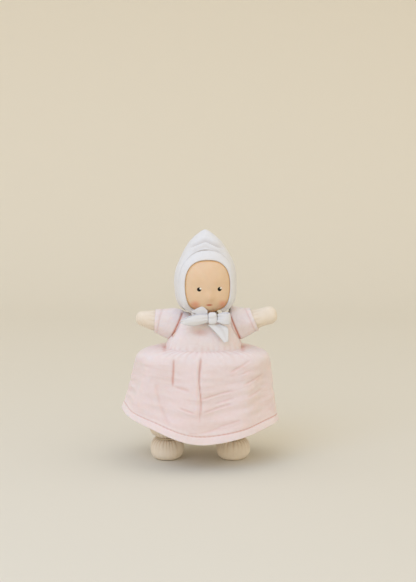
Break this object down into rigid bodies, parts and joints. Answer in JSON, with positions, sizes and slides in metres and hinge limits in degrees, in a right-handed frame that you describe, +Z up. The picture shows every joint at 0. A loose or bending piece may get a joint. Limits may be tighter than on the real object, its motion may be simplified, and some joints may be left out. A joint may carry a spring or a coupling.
{
  "type": "baby doll",
  "caption": "Standing baby doll with a moulded rubber head on a stuffed cloth body, in a gathered gauze dress and a pointed cotton bonnet tied with a bow.",
  "frame": {"origin": "on the floor, under the middle of the skirt, between the feet", "axes": "+Z up, the face looks along -Y, +X to the doll's own left"},
  "size_m": [0.18, 0.121, 0.2639],
  "materials": {
    "rubber_skin": "satin",
    "white_cotton": "matte",
    "pink_gauze": "matte",
    "ivory_jersey": "matte",
    "stuffing": "matte",
    "thread": "matte"
  },
  "bodies": {
    "torso": {"torso_cover": "ivory_jersey", "torso_stuffing": "stuffing", "neck_tie": "thread", "bodice_front": "pink_gauze", "bodice_back": "pink_gauze", "skirt": "pink_gauze"},
    "head": {"head": "rubber_skin", "bonnet_crown": "white_cotton", "bonnet_brim": "white_cotton", "left_bonnet_tie": "white_cotton", "right_bonnet_tie": "white_cotton", "bow_knot": "white_cotton", "bow_left_loop": "white_cotton", "bow_right_loop": "white_cotton", "bow_hanging_tail": "white_cotton", "bow_short_tail": "white_cotton"},
    "left_arm": {"left_arm_cover": "ivory_jersey", "left_arm_stuffing": "stuffing", "left_sleeve": "pink_gauze"},
    "left_leg": {"left_leg_cover": "ivory_jersey", "left_leg_stuffing": "stuffing", "left_ankle_tie": "thread"},
    "right_arm": {"right_arm_cover": "ivory_jersey", "right_arm_stuffing": "stuffing", "right_sleeve": "pink_gauze"},
    "right_leg": {"right_leg_cover": "ivory_jersey", "right_leg_stuffing": "stuffing", "right_ankle_tie": "thread"}
  },
  "joints": [
    {"name": "neck_turn", "type": "hinge", "parent": "torso", "child": "head", "pos_m": [0.0065, 0, 0.1695], "axis": [0, 0, 1], "range_deg": [-20, 20]},
    {"name": "left_arm_lift", "type": "hinge", "parent": "torso", "child": "left_arm", "pos_m": [0.04407, 0, 0.15735], "axis": [0, -1, 0], "range_deg": [-28, 40], "stiffness_Nm_per_rad": 0.15, "deforming": ["left_sleeve"]},
    {"name": "left_leg_swing", "type": "hinge", "parent": "torso", "child": "left_leg", "pos_m": [0.0378, 0, 0.07], "axis": [-1, 0, 0], "range_deg": [-25, 36], "stiffness_Nm_per_rad": 0.6},
    {"name": "right_arm_lift", "type": "hinge", "parent": "torso", "child": "right_arm", "pos_m": [-0.03269, 0, 0.15735], "axis": [0, 1, 0], "range_deg": [-28, 40], "stiffness_Nm_per_rad": 0.15, "deforming": ["right_sleeve"]},
    {"name": "right_leg_swing", "type": "hinge", "parent": "torso", "child": "right_leg", "pos_m": [-0.0378, 0, 0.07], "axis": [-1, 0, 0], "range_deg": [-25, 36], "stiffness_Nm_per_rad": 0.6}
  ]
}
